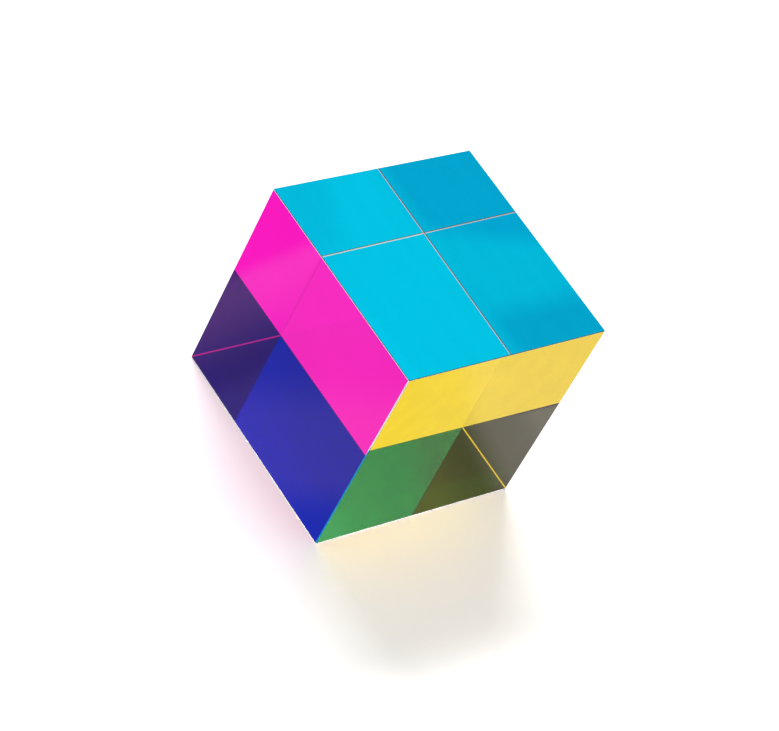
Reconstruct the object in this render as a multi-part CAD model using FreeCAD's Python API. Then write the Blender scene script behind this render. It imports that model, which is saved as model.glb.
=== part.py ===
import FreeCAD, Part
import os

# A solid clear acrylic cube with a translucent colour film bonded to each of the three faces that
# meet at one corner: cyan underneath, magenta on the -X side and yellow on the -Y side. The other
# three faces are bare. Light that comes in through a bare face is coloured by the film it leaves by.
# Millimetres, +Z up, origin at the middle of the face that the cube rests on.

# Driving dimensions
cube_edge = 50.0        # outside size of the finished cube, over acrylic and film
film_thickness = 0.05   # colour film with its bond
core_bevel = 0.1        # what the polished bevel takes off the acrylic where two films meet

# The bevel is polished after the films are on, so it runs through both films and into the acrylic.
edge_bevel = 2 * film_thickness + core_bevel
half_edge = cube_edge / 2

# Each film lies on the low side of the cube along one axis: 0 is X, 1 is Y, 2 is Z.
film_axes = {"magenta_film": 0, "yellow_film": 1, "cyan_film": 2}

# The corner at which the three films meet, and where the cube and each film layer start.
film_corner = FreeCAD.Vector(-half_edge, -half_edge, 0)


def polished_blank():
    """The whole cube as it leaves the polishing wheel, every edge bevelled at 45 degrees."""
    block = Part.makeBox(cube_edge, cube_edge, cube_edge, film_corner)
    return block.makeChamfer(edge_bevel, block.Edges)


def film_layer(axis):
    """The full-width layer, one film thick, on the low side of the cube along an axis."""
    size = [cube_edge, cube_edge, cube_edge]
    size[axis] = film_thickness
    return Part.makeBox(size[0], size[1], size[2], film_corner)


def colour_film(blank, axis):
    """A film takes its outline and its slanted rim from the blank that it was polished with."""
    return blank.common(film_layer(axis))


def clear_core(blank):
    """The acrylic is what the films leave of the blank."""
    core = blank
    for axis in film_axes.values():
        core = core.cut(film_layer(axis))
    return core


def only_solid(shape):
    """The one solid that a cut or a common part gives back."""
    if len(shape.Solids) != 1:
        raise ValueError("expected one solid, found %d" % len(shape.Solids))
    return shape.Solids[0]


blank = polished_blank()
pieces = {"clear_core": clear_core(blank)}
for name, axis in film_axes.items():
    pieces[name] = colour_film(blank, axis)

os.makedirs("parts", exist_ok=True)
for name, shape in pieces.items():
    solid = only_solid(shape)
    solid.exportStep("parts/" + name + ".step")
    print(name, "volume", round(solid.Volume, 3), "faces", len(solid.Faces), "valid", solid.isValid())
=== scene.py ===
import math

import bpy
from mathutils import Matrix, Vector


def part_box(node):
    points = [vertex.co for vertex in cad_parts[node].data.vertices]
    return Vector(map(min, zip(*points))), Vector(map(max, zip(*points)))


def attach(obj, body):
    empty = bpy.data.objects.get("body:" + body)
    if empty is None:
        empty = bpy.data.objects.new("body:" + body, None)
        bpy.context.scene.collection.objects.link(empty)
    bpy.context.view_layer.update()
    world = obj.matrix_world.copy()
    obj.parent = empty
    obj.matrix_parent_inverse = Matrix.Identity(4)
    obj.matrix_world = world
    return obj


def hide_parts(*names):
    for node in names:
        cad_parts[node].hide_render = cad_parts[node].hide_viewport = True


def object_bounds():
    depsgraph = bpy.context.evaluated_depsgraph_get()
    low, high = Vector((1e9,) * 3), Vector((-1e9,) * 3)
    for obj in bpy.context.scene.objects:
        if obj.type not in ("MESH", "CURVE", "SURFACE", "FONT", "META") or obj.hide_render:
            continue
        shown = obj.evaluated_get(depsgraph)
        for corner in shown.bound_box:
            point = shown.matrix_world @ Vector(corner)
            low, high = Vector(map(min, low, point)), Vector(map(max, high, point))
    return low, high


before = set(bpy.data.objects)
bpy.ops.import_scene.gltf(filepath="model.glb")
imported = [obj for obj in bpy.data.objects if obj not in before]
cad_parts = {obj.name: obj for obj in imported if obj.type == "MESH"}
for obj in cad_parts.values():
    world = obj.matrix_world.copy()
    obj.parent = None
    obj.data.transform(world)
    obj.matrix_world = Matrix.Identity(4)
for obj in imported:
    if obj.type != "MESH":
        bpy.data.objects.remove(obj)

# A solid clear acrylic cube that rests on its cyan film. Magenta film is on the -X side and yellow
# film on the -Y side. Light bends and bounces inside it as in the real thing: each window shows one
# film straight through, and the mix of two films where the rays bounce off the cyan one first.
# Metres, +Z up, the same frame as the solids. Colours are linear.

cadLow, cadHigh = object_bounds()
cyanLow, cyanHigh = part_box("cyan_film")

scene = bpy.context.scene
scene.view_settings.view_transform = "Standard"
scene.cycles.max_bounces = 48  # rays bounce many times inside the block
scene.cycles.transmission_bounces = 48
scene.cycles.glossy_bounces = 24
scene.cycles.transparent_max_bounces = 64

# Sizes that the solids give

cube = {
    "low": cadLow.copy(),
    "high": cadHigh.copy(),
    "edge": cadHigh.x - cadLow.x,
    "filmThickness": cyanHigh.z - cyanLow.z,
    "bondGap": 0.000004,  # film and block don't share a surface, so that no ray meets both at once
    "farBevelShare": 0.25,  # the upright edge at the back is bevelled less, as no line of it shows
}
cube["bevel"] = cadHigh.x - cyanHigh.x + cube["filmThickness"]
cube["middle"] = (cube["low"] + cube["high"]) / 2


def deselectAll():
    if bpy.context.object is not None and bpy.context.object.mode != "OBJECT":
        bpy.ops.object.mode_set(mode="OBJECT")
    bpy.ops.object.select_all(action="DESELECT")


def onAxis(axis, length):
    place = Vector((0, 0, 0))
    place[axis] = length
    return place


# Camera: long lens, high on the corner between the magenta and yellow sides, rolled as the photo is

cameraSetup = {
    "azimuth": -54.67,
    "elevation": 42.19,
    "roll": 29.42,
    "distance": 0.575,
    "lens": 133.1,
    "aimRight": -0.00087,  # from the cube's middle to the picture's middle
    "aimUp": -0.00433,
}


def addCamera(values):
    azimuth = math.radians(values["azimuth"])
    elevation = math.radians(values["elevation"])
    roll = math.radians(values["roll"])
    back = Vector((
        math.sin(azimuth) * math.cos(elevation),
        -math.cos(azimuth) * math.cos(elevation),
        math.sin(elevation),
    ))
    level = Vector((0, 0, 1)).cross(back).normalized()
    upright = back.cross(level)
    right = level * math.cos(roll) + upright * math.sin(roll)
    up = upright * math.cos(roll) - level * math.sin(roll)
    aim = cube["middle"] + right * values["aimRight"] + up * values["aimUp"]
    bpy.ops.object.camera_add()
    camera = bpy.context.object
    camera.name = "photoCamera"
    turn = Matrix((right, up, back)).transposed().to_4x4()
    camera.matrix_world = Matrix.Translation(aim + back * values["distance"]) @ turn
    camera.data.lens = values["lens"]
    camera.data.sensor_width = 36
    camera.data.clip_start = 0.01
    camera.data.clip_end = 20
    scene.camera = camera
    return camera


deselectAll()
addCamera(cameraSetup)
print("camera done")


# Small helpers for materials

def newMaterial(name):
    material = bpy.data.materials.new(name)
    material.use_nodes = True
    nodes = material.node_tree.nodes
    nodes.clear()
    output = nodes.new("ShaderNodeOutputMaterial")
    return material, nodes, material.node_tree.links, output


def objectPlace(nodes):
    return nodes.new("ShaderNodeTexCoord").outputs["Object"]


def along(nodes, links, vector, direction):
    # how far a place or a direction lies along another direction
    dot = nodes.new("ShaderNodeVectorMath")
    dot.operation = "DOT_PRODUCT"
    dot.inputs[1].default_value = direction
    links.new(vector, dot.inputs[0])
    return dot.outputs["Value"]


def withAlpha(level):
    return (level, level, level, 1) if isinstance(level, (int, float)) else tuple(level[:3]) + (1,)


def shadeBy(nodes, links, source, stops):
    # a colour that follows a number; the stops are (number, grey or colour), rising
    low, high = stops[0][0], stops[-1][0]
    spread = nodes.new("ShaderNodeMapRange")
    spread.inputs["From Min"].default_value = low
    spread.inputs["From Max"].default_value = high
    links.new(source, spread.inputs["Value"])
    shade = nodes.new("ShaderNodeValToRGB")
    ramp = shade.color_ramp
    ramp.interpolation = "EASE"
    ramp.elements[0].color = withAlpha(stops[0][1])
    ramp.elements[1].color = withAlpha(stops[-1][1])
    for number, level in stops[1:-1]:
        ramp.elements.new((number - low) / (high - low)).color = withAlpha(level)
    links.new(spread.outputs["Result"], shade.inputs[0])
    return shade.outputs["Color"]


def times(nodes, links, first, second):
    # two colours multiplied; each is a socket or a fixed colour
    product = nodes.new("ShaderNodeVectorMath")
    product.operation = "MULTIPLY"
    for slot, colour in enumerate((first, second)):
        if isinstance(colour, tuple):
            product.inputs[slot].default_value = colour[:3]
        else:
            links.new(colour, product.inputs[slot])
    return product.outputs["Vector"]


def numberBy(nodes, links, source, stops):
    # like shadeBy, for a number in straight steps and of any size
    highest = max(number for place, number in stops)
    low, high = stops[0][0], stops[-1][0]
    spread = nodes.new("ShaderNodeMapRange")
    spread.inputs["From Min"].default_value = low
    spread.inputs["From Max"].default_value = high
    links.new(source, spread.inputs["Value"])
    curve = nodes.new("ShaderNodeFloatCurve")
    points = curve.mapping.curves[0].points
    places = [((place - low) / (high - low), number / highest) for place, number in stops]
    points[0].location = places[0]
    points[1].location = places[-1]
    for place in places[1:-1]:
        points.new(place[0], place[1])
    for point in points:
        point.handle_type = "VECTOR"
    curve.mapping.update()
    links.new(spread.outputs["Result"], curve.inputs["Value"])
    scaled = nodes.new("ShaderNodeMath")
    scaled.operation = "MULTIPLY"
    scaled.inputs[1].default_value = highest
    links.new(curve.outputs["Value"], scaled.inputs[0])
    return scaled.outputs[0]


def mixColours(nodes, links, share, first, second):
    # share is a number's socket; the colours are sockets or fixed colours
    mix = nodes.new("ShaderNodeMix")
    mix.data_type = "VECTOR"
    links.new(share, mix.inputs["Factor"])
    for name, colour in (("A", first), ("B", second)):
        slot = [s for s in mix.inputs if s.name == name and s.type == "VECTOR"][0]
        if isinstance(colour, tuple):
            slot.default_value = colour
        else:
            links.new(colour, slot)
    return [s for s in mix.outputs if s.type == "VECTOR"][0]


def mixShaders(nodes, links, share, first, second):
    mix = nodes.new("ShaderNodeMixShader")
    links.new(share, mix.inputs[0])
    links.new(first, mix.inputs[1])
    links.new(second, mix.inputs[2])
    return mix.outputs[0]


# Floor: plain white paper. Seen direct it is as pale as a bright studio floor, and it keeps the soft colour
# that the cube throws on it. Seen direct, mirrored or through the cube it is as pale as the photo's, and
# seen direct it keeps the soft colour that the cube throws on it. Mirrored in the polished faces and seen
# through the cube it shows painted light and shade set by place, not the lit paper.

floorSetup = {
    "size": 6.0,
    "drop": 0.00002,  # just under the film, so that the two surfaces don't meet
    "colour": (0.86, 0.86, 0.86, 1),
    "seenColour": (1, 1, 1, 1),
    "lift": ((0.15, 0.35), (0.90, 1.0)),  # by distance, makes the lit paper white in the picture
    # What the polished sides mirror of it is a painted reflection: emission shades set by place on the
    # floor, not the lit paper. A way is in degrees from +X towards +Y, and the shades are soft along it.
    # Each further part lies beyond a line square to another way, and covers what is there.
    "paintedReflectionLevel": 1.35,
    "paintedReflectionBack": (0.45, 0.42, 0.45),
    "lineBlur": 0.0003,
    "left": (
        {  # in front of the blue cell, with its blue by a second way
            "way": 110,
            "shades": (
                (-0.010, (0.16, 0.28, 1)), (0.003, (0.48, 0.44, 1)), (0.016, (0.48, 0.43, 1)),
                (0.032, (0.23, 0.28, 1)), (0.045, (0.05, 0.30, 1)),
            ),
            "secondWay": 10,
            "secondShades": ((-0.0455, (1, 1, 0.02)), (-0.0255, (1, 1, 1.03))),
        },
        {  # in front of the dark violet cells
            "beyond": (51.5, -0.0102),
            "way": 80,
            "shades": (
                (0.007, (0.44, 0.28, 0.54)), (0.013, (0.34, 0.19, 0.22)), (0.031, (0.97, 0.40, 0.62)),
                (0.036, (0.97, 0.12, 0.38)),
            ),
        },
    ),
    "right": (
        {  # in front of the green cell
            "way": 20,
            "shades": (
                (-0.0285, (0.43, 0.92, 0.62)), (-0.021, (0.39, 0.56, 0.51)), (-0.010, (0.37, 0.37, 0.45)),
                (0.002, (0.46, 0.08, 0.40)),
            ),
        },
        {  # in front of the olive and grey cells
            "beyond": (56.0, -0.0209),
            "way": 10,
            "shades": (
                (0.000, (0.56, 0.53, 0.17)), (0.0145, (0.37, 0.33, 0.15)), (0.0255, (0.82, 0.71, 0.60)),
                (0.031, (0.86, 0.75, 0.65)), (0.038, (1.05, 0.93, 0.78)),
            ),
        },
        {  # further out, in front of the yellow
            "beyond": (-88.7, 0.0423),
            "way": 30,
            "shades": (
                (-0.018, (0.30, 0.18, 0.24)), (-0.001, (0.60, 0.46, 0.34)), (0.008, (0.88, 0.68, 0.58)),
                (0.0165, (0.60, 0.43, 0.57)),
            ),
        },
    ),
    # what is seen of it through the cube, as painted light and shade instead of the lit paper: even under
    # it and beside it, brighter behind it by X, and painted shadows in narrow strips along the two far rims
    "under": 1.03,
    "outside": 1.04,
    "behind": ((0.008, 1.19), (0.022, 1.09)),
    "shadowX": 0.35,
    "shadowY": 0.60,
}


def alongFloor(nodes, links, place, degrees):
    turn = math.radians(degrees)
    return along(nodes, links, place, (math.cos(turn), math.sin(turn), 0))


def paintedReflectionParts(nodes, links, place, parts, blur):
    colour = None
    for part in parts:
        shades = shadeBy(nodes, links, alongFloor(nodes, links, place, part["way"]), part["shades"])
        if "secondWay" in part:
            second = alongFloor(nodes, links, place, part["secondWay"])
            shades = times(nodes, links, shades, shadeBy(nodes, links, second, part["secondShades"]))
        if "beyond" in part:
            degrees, line = part["beyond"]
            beyond = alongFloor(nodes, links, place, degrees)
            share = numberBy(nodes, links, beyond, ((line - blur, 0.0), (line + blur, 1.0)))
            shades = mixColours(nodes, links, share, colour, shades)
        colour = shades
    return colour


def floorMaterial(values):
    material, nodes, links, output = newMaterial("whitePaperWithPaintedLight")
    lightPath = nodes.new("ShaderNodeLightPath")
    place = objectPlace(nodes)
    acrossX = along(nodes, links, place, (1, 0, 0))
    acrossY = along(nodes, links, place, (0, 1, 0))
    paper = nodes.new("ShaderNodeBsdfDiffuse")
    paper.inputs["Color"].default_value = values["colour"]
    seenPaper = nodes.new("ShaderNodeBsdfDiffuse")
    seenPaper.inputs["Color"].default_value = values["seenColour"]
    far = nodes.new("ShaderNodeVectorMath")
    far.operation = "LENGTH"
    links.new(place, far.inputs[0])
    lift = nodes.new("ShaderNodeEmission")
    links.new(numberBy(nodes, links, far.outputs["Value"], values["lift"]), lift.inputs["Strength"])
    lifted = nodes.new("ShaderNodeAddShader")
    links.new(seenPaper.outputs[0], lifted.inputs[0])
    links.new(lift.outputs[0], lifted.inputs[1])
    blur = values["lineBlur"]
    left = paintedReflectionParts(nodes, links, place, values["left"], blur)
    right = paintedReflectionParts(nodes, links, place, values["right"], blur)
    edgeX, edgeY = cube["low"].x, cube["low"].y
    atBack = numberBy(nodes, links, acrossY, ((edgeY, 0.0), (edgeY + 2 * blur, 1.0)))
    right = mixColours(nodes, links, atBack, right, values["paintedReflectionBack"])
    onRight = numberBy(nodes, links, acrossX, ((edgeX - 2 * blur, 0.0), (edgeX + 2 * blur, 1.0)))
    # painted reflection: glossy rays see these shades by place, not the lit paper
    mirrored = nodes.new("ShaderNodeEmission")
    mirrored.inputs["Strength"].default_value = values["paintedReflectionLevel"]
    links.new(mixColours(nodes, links, onRight, left, right), mirrored.inputs["Color"])
    rim = cube["high"].x
    soft = cube["bevel"] / 2
    # painted shadows: darker strips along the far rims, for rays seen through the cube
    shadowX = numberBy(nodes, links, acrossX, (
        (rim - 2 * soft, 1.0), (rim - soft, values["shadowX"]), (rim, values["shadowX"]), (rim + soft, 1.0),
    ))
    shadowY = numberBy(nodes, links, acrossY, (
        (rim - 2 * soft, 1.0), (rim - soft, values["shadowY"]), (rim, values["shadowY"]), (rim + soft, 1.0),
    ))
    outX = numberBy(nodes, links, acrossX, ((rim, 0.0), (rim + soft, 1.0)))
    outY = numberBy(nodes, links, acrossY, ((rim, 0.0), (rim + soft, 1.0)))
    behind = numberBy(nodes, links, acrossX, values["behind"])
    level = mixColours(nodes, links, outX, (values["under"],) * 3, (values["outside"],) * 3)
    level = mixColours(nodes, links, outY, level, behind)
    level = mixColours(nodes, links, outY, times(nodes, links, level, shadowX), level)
    level = mixColours(nodes, links, outX, times(nodes, links, level, shadowY), level)
    # painted light and shade: rays through the cube see this emission instead of the lit paper
    through = nodes.new("ShaderNodeEmission")
    links.new(level, through.inputs["Color"])
    isCamera = lightPath.outputs["Is Camera Ray"]
    isGlossy = lightPath.outputs["Is Glossy Ray"]
    isTransmission = lightPath.outputs["Is Transmission Ray"]
    surface = mixShaders(nodes, links, isCamera, paper.outputs[0], lifted.outputs[0])
    surface = mixShaders(nodes, links, isGlossy, surface, mirrored.outputs[0])
    # a ray through the cube counts as glossy too, so this one goes last
    surface = mixShaders(nodes, links, isTransmission, surface, through.outputs[0])
    links.new(surface, output.inputs["Surface"])
    return material


def addFloor(values):
    bpy.ops.mesh.primitive_plane_add(size=values["size"], location=(0, 0, -values["drop"]))
    floor = bpy.context.object
    floor.name = "paperFloor"
    bpy.ops.object.transform_apply(location=True, rotation=True, scale=True)
    floor.data.materials.append(floorMaterial(values))
    return floor


# Room: a big soft window behind the cube, opposite the camera, a dim corner on the left behind it,
# and a dim front. Directions are in degrees, the azimuth from +X towards +Y.

roomSetup = {
    "window": {"azimuth": 37.5, "elevation": 41.0},
    # from its far side to its middle
    "windowSteps": ((-0.20, 0.20), (0.30, 0.30), (0.577, 0.38), (0.88, 1.0)),
    "corner": {"azimuth": 143.0, "elevation": 41.0},
    "cornerSteps": ((0.80, 1.0), (0.97, 0.16)),
    "light": 0.43,  # the even light that the room gives
    "horizonSteps": ((0.14, 1.0), (0.56, 0.0)),  # by height, how white the backdrop is near the floor
    "mirroredSteps": ((0.15, 0.55), (0.60, 0.02)),  # by height, what the polished faces mirror
    "seen": 1.0,
}


def pointTo(direction):
    azimuth = math.radians(direction["azimuth"])
    elevation = math.radians(direction["elevation"])
    return (
        math.cos(azimuth) * math.cos(elevation),
        math.sin(azimuth) * math.cos(elevation),
        math.sin(elevation),
    )


def background(nodes, links, colour, strength=1.0):
    light = nodes.new("ShaderNodeBackground")
    light.inputs["Strength"].default_value = strength
    if colour is not None:
        links.new(colour, light.inputs["Color"])
    else:
        light.inputs["Color"].default_value = (1, 1, 1, 1)
    return light.outputs[0]


def addRoom(values):
    world = bpy.data.worlds.new("softRoom")
    scene.world = world
    world.use_nodes = True
    nodes, links = world.node_tree.nodes, world.node_tree.links
    nodes.clear()
    output = nodes.new("ShaderNodeOutputWorld")
    lightPath = nodes.new("ShaderNodeLightPath")
    direction = nodes.new("ShaderNodeTexCoord").outputs["Generated"]
    toWindow = along(nodes, links, direction, pointTo(values["window"]))
    window = shadeBy(nodes, links, toWindow, values["windowSteps"])
    toCorner = along(nodes, links, direction, pointTo(values["corner"]))
    corner = shadeBy(nodes, links, toCorner, values["cornerSteps"])
    height = along(nodes, links, direction, (0, 0, 1))
    mirrored = shadeBy(nodes, links, height, values["mirroredSteps"])
    light = background(nodes, links, None, values["light"])
    glossy = background(nodes, links, mirrored)
    horizon = numberBy(nodes, links, height, values["horizonSteps"])
    dimmed = times(nodes, links, window, corner)
    through = background(nodes, links, mixColours(nodes, links, horizon, dimmed, (1.0, 1.0, 1.0)))
    seen = background(nodes, links, None, values["seen"])
    surface = mixShaders(nodes, links, lightPath.outputs["Is Glossy Ray"], light, glossy)
    surface = mixShaders(nodes, links, lightPath.outputs["Is Transmission Ray"], surface, through)
    surface = mixShaders(nodes, links, lightPath.outputs["Is Camera Ray"], surface, seen)
    links.new(surface, output.inputs["Surface"])


# Lamp: behind the cube, so that its light comes out coloured through the yellow film onto the paper

lampSetup = {
    "azimuth": 70.0,
    "elevation": 54.0,
    "distance": 1.2,
    "width": 0.64,
    "height": 0.20,
    "power": 12.5,
}


def addLamp(values):
    place = cube["middle"] + Vector(pointTo(values)) * values["distance"]
    bpy.ops.object.light_add(type="AREA", location=place)
    lamp = bpy.context.object
    lamp.name = "backLamp"
    lamp.data.shape = "RECTANGLE"
    lamp.data.size = values["width"]
    lamp.data.size_y = values["height"]
    lamp.data.energy = values["power"]
    lamp.rotation_euler = (cube["middle"] - place).to_track_quat("-Z", "Y").to_euler()
    lamp.visible_camera = False
    lamp.visible_glossy = False
    return lamp


deselectAll()
addFloor(floorSetup)
addRoom(roomSetup)
addLamp(lampSetup)
print("floor and lights done")


# Block and films are cut from one polished cube, as the real ones are

def polishedBlank(name):
    # the cube over block and films, with every edge bevelled
    deselectAll()
    bpy.ops.mesh.primitive_cube_add(size=cube["edge"], location=cube["middle"])
    blank = bpy.context.object
    blank.name = name
    blank.data.name = name
    bpy.ops.object.transform_apply(location=True, rotation=True, scale=True)
    mesh = blank.data
    weights = mesh.attributes.new("bevel_weight_edge", "FLOAT", "EDGE")
    for edge in mesh.edges:
        start, end = (mesh.vertices[index].co for index in edge.vertices)
        isFar = min(start.x, start.y, end.x, end.y) > 0
        weights.data[edge.index].value = cube["farBevelShare"] if isFar else 1.0
    bevel = blank.modifiers.new("bevel", "BEVEL")
    bevel.limit_method = "WEIGHT"
    bevel.offset_type = "OFFSET"
    bevel.width = cube["bevel"]
    bevel.segments = 1
    bpy.ops.object.modifier_apply(modifier=bevel.name)
    return blank


def cutOff(piece, axis, place, keepHigh):
    # cuts the piece flat across an axis and closes the cut
    bpy.context.view_layer.objects.active = piece
    bpy.ops.object.mode_set(mode="EDIT")
    bpy.ops.mesh.select_all(action="SELECT")
    bpy.ops.mesh.bisect(
        plane_co=onAxis(axis, place),
        plane_no=onAxis(axis, 1.0),
        use_fill=True,
        clear_inner=keepHigh,
        clear_outer=not keepHigh,
        threshold=0.0000001,
    )
    bpy.ops.mesh.select_all(action="SELECT")
    bpy.ops.mesh.normals_make_consistent(inside=False)
    bpy.ops.object.mode_set(mode="OBJECT")


def roundedNormal(point):
    # the normal at a place on a bevel, turned from face to face as on a rounded edge
    lean = Vector((0, 0, 0))
    for axis in range(3):
        fromLow = point[axis] - cube["low"][axis]
        fromHigh = cube["high"][axis] - point[axis]
        if fromLow < cube["bevel"]:
            lean[axis] = fromLow - cube["bevel"]
        elif fromHigh < cube["bevel"]:
            lean[axis] = cube["bevel"] - fromHigh
    return lean.normalized()


def sidesOf(face):
    # the sides of the cube that a face looks to: -1, 0 or 1 along each axis
    return tuple(0 if abs(part) < 0.1 else math.copysign(1, part) for part in face.normal)


def isFlat(face):
    return sidesOf(face).count(0) == 2


def bevelNormal(name, face, point):
    # bevels at the magenta and yellow sides are polished round, and the others flat
    sides = sidesOf(face)
    if sides == (-1, -1, 0) and name in bevelLook["frontTurn"]:
        start, end = bevelLook["frontTurn"][name]
        turn = math.radians(start if point.x < face.center.x else end)
        return Vector((-math.cos(turn), -math.sin(turn), 0))
    if -1 in sides[:2]:
        return roundedNormal(point)
    if sides == (1, 0, -1):
        return Vector((math.cos(bevelLook["lean"]), 0, -math.sin(bevelLook["lean"])))
    return face.normal.copy()


def shadeBevelsRound(piece):
    # flats stay flat, and the bevels are shaded as one round edge over block and films
    mesh = piece.data
    normals = [Vector((0, 0, 1))] * len(mesh.loops)
    for face in mesh.polygons:
        face.use_smooth = True
        for loop in face.loop_indices:
            corner = mesh.vertices[mesh.loops[loop].vertex_index].co
            normals[loop] = face.normal.copy() if isFlat(face) else bevelNormal(piece.name, face, corner)
    mesh.normals_split_custom_set(normals)


def paintFace(piece, normal, slot):
    # the face that looks along a normal gets another of the piece's materials
    alike = 0.99999
    for face in piece.data.polygons:
        if face.normal.dot(normal.normalized()) > alike:
            face.material_index = slot


# Materials of the clear pieces

acrylic = {
    "ior": 1.49,
    "topTint": (0.99, 0.995, 0.995, 1),
    # painted shade: soft darker parts of the top, made in the glass's colour. Each has a direction with
    # where the part begins and is full, another one across it, and the colour
    "topPaintedShades": (
        ((1, 0, 0), -0.002, 0.005, (0.35, 1, 0), 0.004, 0.012, (0.80, 0.795, 0.915)),
        ((1, 0, 0), -0.002, 0.006, (0, -1, 0), 0.011, 0.019, (0.77, 0.765, 0.862)),
        ((-1, 0.36, 0), 0.018, 0.025, (0, 1, 0), 0.003, 0.012, (0.90, 0.90, 0.93)),
    ),
    # painted shade: the mirror colour of a bounce inside a bare side is darkened, most on the +X side
    "sideBouncePaintedShade": {"X": (0.885, 0.885, 0.90, 1), "Y": (0.99, 0.99, 0.99, 1)},  # what a bounce inside keeps
}
bevelLook = {
    "lean": math.radians(30),  # the lower bevel on the +X side leans this far down from that side
    # how the upright bevel between the magenta and yellow sides turns, in degrees over each piece's share
    "frontTurn": {"magentaFilm": (0, 18), "acrylicBlock": (18, 24), "yellowFilm": (72, 90)},
    "colour": (0.97, 0.97, 0.97, 1),
    "roughness": 0.0,
}


def unevenness(nodes, links, look):
    # a grey a little under or over 1 from soft clouds or streaks and a few specks; the scales are per metre
    place = objectPlace(nodes)
    stretched = nodes.new("ShaderNodeMapping")
    stretched.inputs["Scale"].default_value = look["scale"]
    links.new(place, stretched.inputs["Vector"])
    clouds = nodes.new("ShaderNodeTexNoise")
    clouds.inputs["Scale"].default_value = 1.0
    clouds.inputs["Detail"].default_value = look["detail"]
    links.new(stretched.outputs["Vector"], clouds.inputs["Vector"])
    depth = look["depth"]
    cloudShade = shadeBy(nodes, links, clouds.outputs["Fac"], ((0.3, 1 - depth), (0.7, 1.0)))
    specks = nodes.new("ShaderNodeTexVoronoi")
    specks.inputs["Scale"].default_value = look["speckScale"]
    links.new(place, specks.inputs["Vector"])
    core = shadeBy(nodes, links, specks.outputs["Distance"], (
        (look["speckSize"] * 0.4, 0.0), (look["speckSize"], 1.0),
    ))
    chosen = shadeBy(nodes, links, along(nodes, links, specks.outputs["Color"], (1, 0, 0)), (
        (look["speckShare"], 0.0), (look["speckShare"] + 0.01, 1.0),
    ))
    lighter = nodes.new("ShaderNodeMix")
    lighter.data_type = "RGBA"
    lighter.blend_type = "LIGHTEN"
    lighter.inputs["Factor"].default_value = 1.0
    links.new(core, lighter.inputs["A"])
    links.new(chosen, lighter.inputs["B"])
    speckDepth = shadeBy(nodes, links, along(nodes, links, lighter.outputs["Result"], (1, 0, 0)), (
        (0.0, 1 - look["speckDepth"]), (1.0, 1.0),
    ))
    return times(nodes, links, cloudShade, speckDepth)


def glassFace(nodes, links, output, throughColour, mirrorColour):
    # polished surface with the fresnel share mirrored and the rest bent through, in or out
    through = nodes.new("ShaderNodeBsdfRefraction")
    through.inputs["Roughness"].default_value = 0.0
    through.inputs["IOR"].default_value = acrylic["ior"]
    mirror = nodes.new("ShaderNodeBsdfGlossy")
    mirror.inputs["Roughness"].default_value = 0.0
    for shader, colour in ((through, throughColour), (mirror, mirrorColour)):
        if isinstance(colour, tuple):
            shader.inputs["Color"].default_value = colour
        else:
            links.new(colour, shader.inputs["Color"])
    fresnel = nodes.new("ShaderNodeFresnel")
    fresnel.inputs["IOR"].default_value = acrylic["ior"]
    surface = mixShaders(nodes, links, fresnel.outputs[0], through.outputs[0], mirror.outputs[0])
    links.new(surface, output.inputs["Surface"])


handledAcrylic = {  # faint haze and dust
    "scale": (60, 60, 60),
    "detail": 2.0,
    "depth": 0.02,
    "speckScale": 420,
    "speckSize": 0.07,
    "speckShare": 0.06,
    "speckDepth": 0.25,
}


def topMaterial():
    material, nodes, links, output = newMaterial("clearTopWithPaintedShade")
    place = objectPlace(nodes)
    colour = times(nodes, links, acrylic["topTint"], unevenness(nodes, links, handledAcrylic))
    # painted shade: each part darkens the top's colour where its two soft bands overlap
    for first, firstLow, firstHigh, second, secondLow, secondHigh, tint in acrylic["topPaintedShades"]:
        way = along(nodes, links, place, first)
        across = along(nodes, links, place, second)
        firstShare = shadeBy(nodes, links, way, ((firstLow, 0.0), (firstHigh, 1.0)))
        secondShare = shadeBy(nodes, links, across, ((secondLow, 0.0), (secondHigh, 1.0)))
        share = along(nodes, links, times(nodes, links, firstShare, secondShare), (1, 0, 0))
        colour = times(nodes, links, colour, mixColours(nodes, links, share, (1.0, 1.0, 1.0), tint))
    glassFace(nodes, links, output, colour, (1, 1, 1, 1))
    return material


def sideMaterial(axisName):
    # a bare side face, whose total reflection from inside is darkened a little as painted shade
    material, nodes, links, output = newMaterial("clearSideWithPaintedShade" + axisName)
    glassFace(nodes, links, output, unevenness(nodes, links, handledAcrylic), acrylic["sideBouncePaintedShade"][axisName])
    return material


def farEdgeMaterial():
    # the narrow bevel between the two bare sides has its reflection darkened as much as a bounce on both,
    # the same painted shade
    material, nodes, links, output = newMaterial("clearFarEdgeWithPaintedShade")
    loss = [x * y for x, y in zip(acrylic["sideBouncePaintedShade"]["X"], acrylic["sideBouncePaintedShade"]["Y"])]
    glassFace(nodes, links, output, (1, 1, 1, 1), tuple(loss))
    return material


def bevelMaterial():
    material, nodes, links, output = newMaterial("polishedBevel")
    shader = nodes.new("ShaderNodeBsdfPrincipled")
    shader.inputs["Base Color"].default_value = bevelLook["colour"]
    shader.inputs["Roughness"].default_value = bevelLook["roughness"]
    shader.inputs["IOR"].default_value = acrylic["ior"]
    shader.inputs["Transmission Weight"].default_value = 1.0
    links.new(shader.outputs["BSDF"], output.inputs["Surface"])
    return material


def bondMaterial():
    # where film and block are bonded, light passes as if nothing were there
    material, nodes, links, output = newMaterial("bondedFace")
    shader = nodes.new("ShaderNodeBsdfPrincipled")
    shader.inputs["Alpha"].default_value = 0.0
    links.new(shader.outputs["BSDF"], output.inputs["Surface"])
    return material


bevelGlass = bevelMaterial()
bondedFace = bondMaterial()


# Films: the dye is in the outer skin, over a clear bond. Axis 0 is X, 1 is Y and 2 is Z, and each film
# is on the low side of the cube. The tint is what one pass through the dye keeps.

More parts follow.
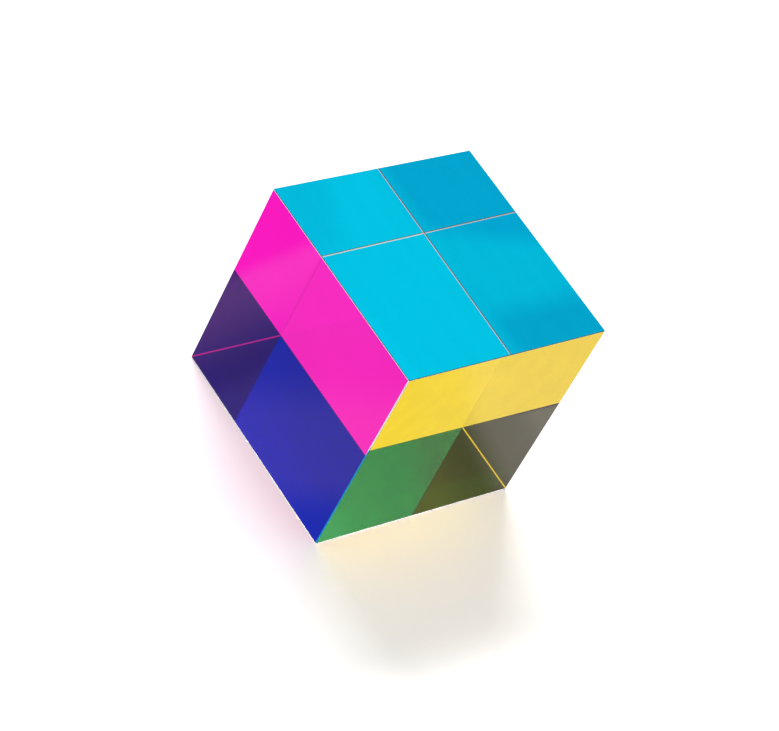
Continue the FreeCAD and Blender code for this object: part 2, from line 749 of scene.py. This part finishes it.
films = {
    "magenta": {
        "axis": 0,
        "tint": (0.995, 0.0, 0.56, 1),
        "mirror": (1, 1, 1, 1),
        "scale": (50, 50, 90),
        "detail": 2.0,
        "depth": 0.03,
        "speckScale": 300,
        "speckSize": 0.08,
        "speckShare": 0.05,
        "speckDepth": 0.3,
    },
    "yellow": {
        "axis": 1,
        "tint": (0.995, 0.73, 0.008, 1),
        "mirror": (1, 1, 1, 1),
        "scale": (160, 160, 160),
        "detail": 3.0,
        "depth": 0.05,
        "speckScale": 300,
        "speckSize": 0.08,
        "speckShare": 0.05,
        "speckDepth": 0.3,
    },
    "cyan": {
        "axis": 2,
        "tint": (0.0, 0.61, 0.865, 1),
        "mirror": (1, 1, 1, 1),
        "scale": (300, 25, 60),  # streaks along Y, the way the film was rolled
        "detail": 3.0,
        "depth": 0.03,
        "speckScale": 260,
        "speckSize": 0.09,
        "speckShare": 0.05,
        "speckDepth": 0.35,
    },
}


def bondPlane(axis):
    return cube["low"][axis] + cube["filmThickness"]


# Acrylic block

def addBlock():
    block = polishedBlank("acrylicBlock")
    for film in films.values():
        cutOff(block, film["axis"], bondPlane(film["axis"]) + cube["bondGap"] / 2, keepHigh=True)
    glass = (bevelGlass, topMaterial(), sideMaterial("X"), sideMaterial("Y"), farEdgeMaterial(), bondedFace)
    for material in glass:
        block.data.materials.append(material)
    paintFace(block, Vector((0, 0, 1)), 1)
    paintFace(block, Vector((1, 0, 0)), 2)
    paintFace(block, Vector((0, 1, 0)), 3)
    paintFace(block, Vector((1, 1, 0)), 4)
    for film in films.values():
        paintFace(block, onAxis(film["axis"], -1.0), 5)
    shadeBevelsRound(block)
    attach(block, "root")
    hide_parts("clear_core")
    return block


def dyeMaterial(name, look):
    material, nodes, links, output = newMaterial(name + "Dye")
    once = times(nodes, links, look["tint"], unevenness(nodes, links, look))
    twice = times(nodes, links, once, once)  # a bounce from inside passes the dye twice
    outsideIn = nodes.new("ShaderNodeMix")
    outsideIn.data_type = "RGBA"
    outsideIn.inputs["A"].default_value = look["mirror"]
    links.new(nodes.new("ShaderNodeNewGeometry").outputs["Backfacing"], outsideIn.inputs["Factor"])
    links.new(twice, outsideIn.inputs["B"])
    glassFace(nodes, links, output, once, outsideIn.outputs["Result"])
    return material


def addFilm(name, look):
    film = polishedBlank(name + "Film")
    axis = look["axis"]
    bonded = bondPlane(axis) - cube["bondGap"] / 2
    cutOff(film, axis, bonded, keepHigh=False)
    for material in (bevelGlass, dyeMaterial(name, look), bondedFace):
        film.data.materials.append(material)
    paintFace(film, onAxis(axis, -1.0), 1)
    paintFace(film, onAxis(axis, 1.0), 2)
    shadeBevelsRound(film)
    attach(film, "root")
    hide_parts(name + "_film")
    return film


addBlock()
print("block done")
for filmName, filmLook in films.items():
    addFilm(filmName, filmLook)
print("films done")
